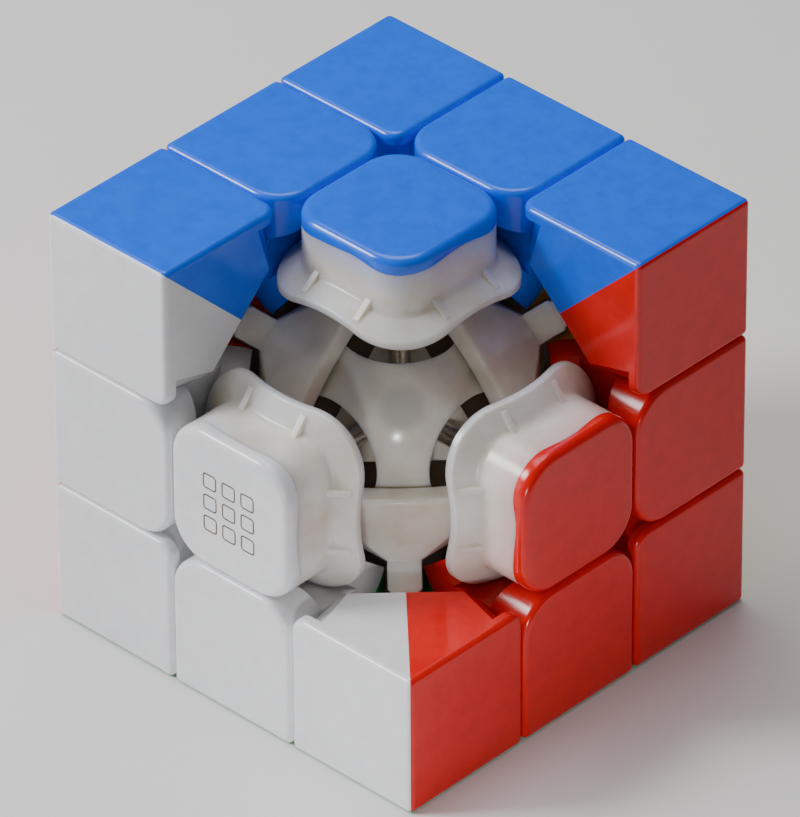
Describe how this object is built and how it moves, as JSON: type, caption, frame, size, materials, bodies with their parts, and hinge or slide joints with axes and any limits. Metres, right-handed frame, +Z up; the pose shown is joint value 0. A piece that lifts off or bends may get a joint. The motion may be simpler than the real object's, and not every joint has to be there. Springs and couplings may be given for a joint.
{
  "type": "twisty puzzle cube",
  "caption": "Stickerless ball-core puzzle cube of coloured shells on milky centres, shown with one corner and its three neighbouring edges taken out.",
  "frame": {"origin": "centre of the cube and of its core ball", "axes": "+Z up through the blue centre, -Y through the white centre, +X through the red centre"},
  "size_m": [0.0556, 0.0556, 0.0556],
  "materials": {
    "blue_shell": "glossy solid blue ABS",
    "green_shell": "glossy solid green ABS",
    "white_shell": "glossy solid white ABS",
    "yellow_shell": "glossy solid yellow ABS",
    "red_shell": "glossy solid red ABS",
    "orange_shell": "glossy solid orange ABS",
    "milky_housing": "milky translucent ABS, smooth",
    "milky_foot": "milky translucent nylon, satin",
    "milky_core": "milky translucent acetal, polished",
    "steel_screw": "zinc-plated steel",
    "spring_steel": "drawn spring wire",
    "magnet": "nickel-plated neodymium"
  },
  "bodies": {
    "root": {"centre_screws": "steel_screw", "centre_springs": "spring_steel", "core_and_middle_magnets": "magnet", "core_ball": "milky_core", "core_spider": "milky_core", "orange_half_of_white_orange_edge": "orange_shell", "orange_half_of_yellow_orange_edge": "orange_shell", "red_half_of_yellow_red_edge": "red_shell", "white_half_of_white_orange_edge": "white_shell", "yellow_half_of_yellow_orange_edge": "yellow_shell", "yellow_half_of_yellow_red_edge": "yellow_shell"},
    "up_layer": {"blue_half_of_blue_orange_edge": "blue_shell", "blue_half_of_blue_yellow_edge": "blue_shell", "blue_shell_of_blue_white_orange_corner": "blue_shell", "blue_shell_of_blue_yellow_orange_corner": "blue_shell", "blue_shell_of_blue_yellow_red_corner": "blue_shell", "orange_half_of_blue_orange_edge": "orange_shell", "orange_shell_of_blue_white_orange_corner": "orange_shell", "orange_shell_of_blue_yellow_orange_corner": "orange_shell", "red_shell_of_blue_yellow_red_corner": "red_shell", "up_corner_feet": "milky_foot", "up_layer_magnets": "magnet", "white_shell_of_blue_white_orange_corner": "white_shell", "yellow_half_of_blue_yellow_edge": "yellow_shell", "yellow_shell_of_blue_yellow_orange_corner": "yellow_shell", "yellow_shell_of_blue_yellow_red_corner": "yellow_shell"},
    "down_layer": {"down_corner_feet": "milky_foot", "down_layer_magnets": "magnet", "green_half_of_green_orange_edge": "green_shell", "green_half_of_green_red_edge": "green_shell", "green_half_of_green_white_edge": "green_shell", "green_half_of_green_yellow_edge": "green_shell", "green_shell_of_green_white_orange_corner": "green_shell", "green_shell_of_green_white_red_corner": "green_shell", "green_shell_of_green_yellow_orange_corner": "green_shell", "green_shell_of_green_yellow_red_corner": "green_shell", "orange_half_of_green_orange_edge": "orange_shell", "orange_shell_of_green_white_orange_corner": "orange_shell", "orange_shell_of_green_yellow_orange_corner": "orange_shell", "red_half_of_green_red_edge": "red_shell", "red_shell_of_green_white_red_corner": "red_shell", "red_shell_of_green_yellow_red_corner": "red_shell", "white_half_of_green_white_edge": "white_shell", "white_shell_of_green_white_orange_corner": "white_shell", "white_shell_of_green_white_red_corner": "white_shell", "yellow_half_of_green_yellow_edge": "yellow_shell", "yellow_shell_of_green_yellow_orange_corner": "yellow_shell", "yellow_shell_of_green_yellow_red_corner": "yellow_shell"},
    "up_centre": {"blue_centre_cap": "blue_shell", "blue_centre_housing": "milky_housing"},
    "down_centre": {"green_centre_cap": "green_shell", "green_centre_housing": "milky_housing"},
    "front_centre": {"white_centre_cap": "white_shell", "white_centre_housing": "milky_housing"},
    "right_centre": {"red_centre_cap": "red_shell", "red_centre_housing": "milky_housing"},
    "back_centre": {"yellow_centre_cap": "yellow_shell", "yellow_centre_housing": "milky_housing"},
    "left_centre": {"orange_centre_cap": "orange_shell", "orange_centre_housing": "milky_housing"}
  },
  "joints": [
    {"name": "up_turn", "type": "hinge", "parent": "root", "child": "up_layer", "pos_m": [0, 0, 0.0185], "axis": [0, 0, 1], "continuous": true},
    {"name": "down_turn", "type": "hinge", "parent": "root", "child": "down_layer", "pos_m": [0, 0, -0.0185], "axis": [0, 0, -1], "continuous": true},
    {"name": "up_float", "type": "slide", "parent": "up_layer", "child": "up_centre", "axis": [0, 0, 1], "range_m": [0, 0.0007], "stiffness_N_per_m": 2000, "springref_m": -0.0005},
    {"name": "down_float", "type": "slide", "parent": "down_layer", "child": "down_centre", "axis": [0, 0, -1], "range_m": [0, 0.0007], "stiffness_N_per_m": 2000, "springref_m": -0.0005},
    {"name": "front_float", "type": "slide", "parent": "root", "child": "front_centre", "axis": [0, -1, 0], "range_m": [0, 0.0007], "stiffness_N_per_m": 2000, "springref_m": -0.0005},
    {"name": "right_float", "type": "slide", "parent": "root", "child": "right_centre", "axis": [1, 0, 0], "range_m": [0, 0.0007], "stiffness_N_per_m": 2000, "springref_m": -0.0005},
    {"name": "back_float", "type": "slide", "parent": "root", "child": "back_centre", "axis": [0, 1, 0], "range_m": [0, 0.0007], "stiffness_N_per_m": 2000, "springref_m": -0.0005},
    {"name": "left_float", "type": "slide", "parent": "root", "child": "left_centre", "axis": [-1, 0, 0], "range_m": [0, 0.0007], "stiffness_N_per_m": 2000, "springref_m": -0.0005}
  ]
}
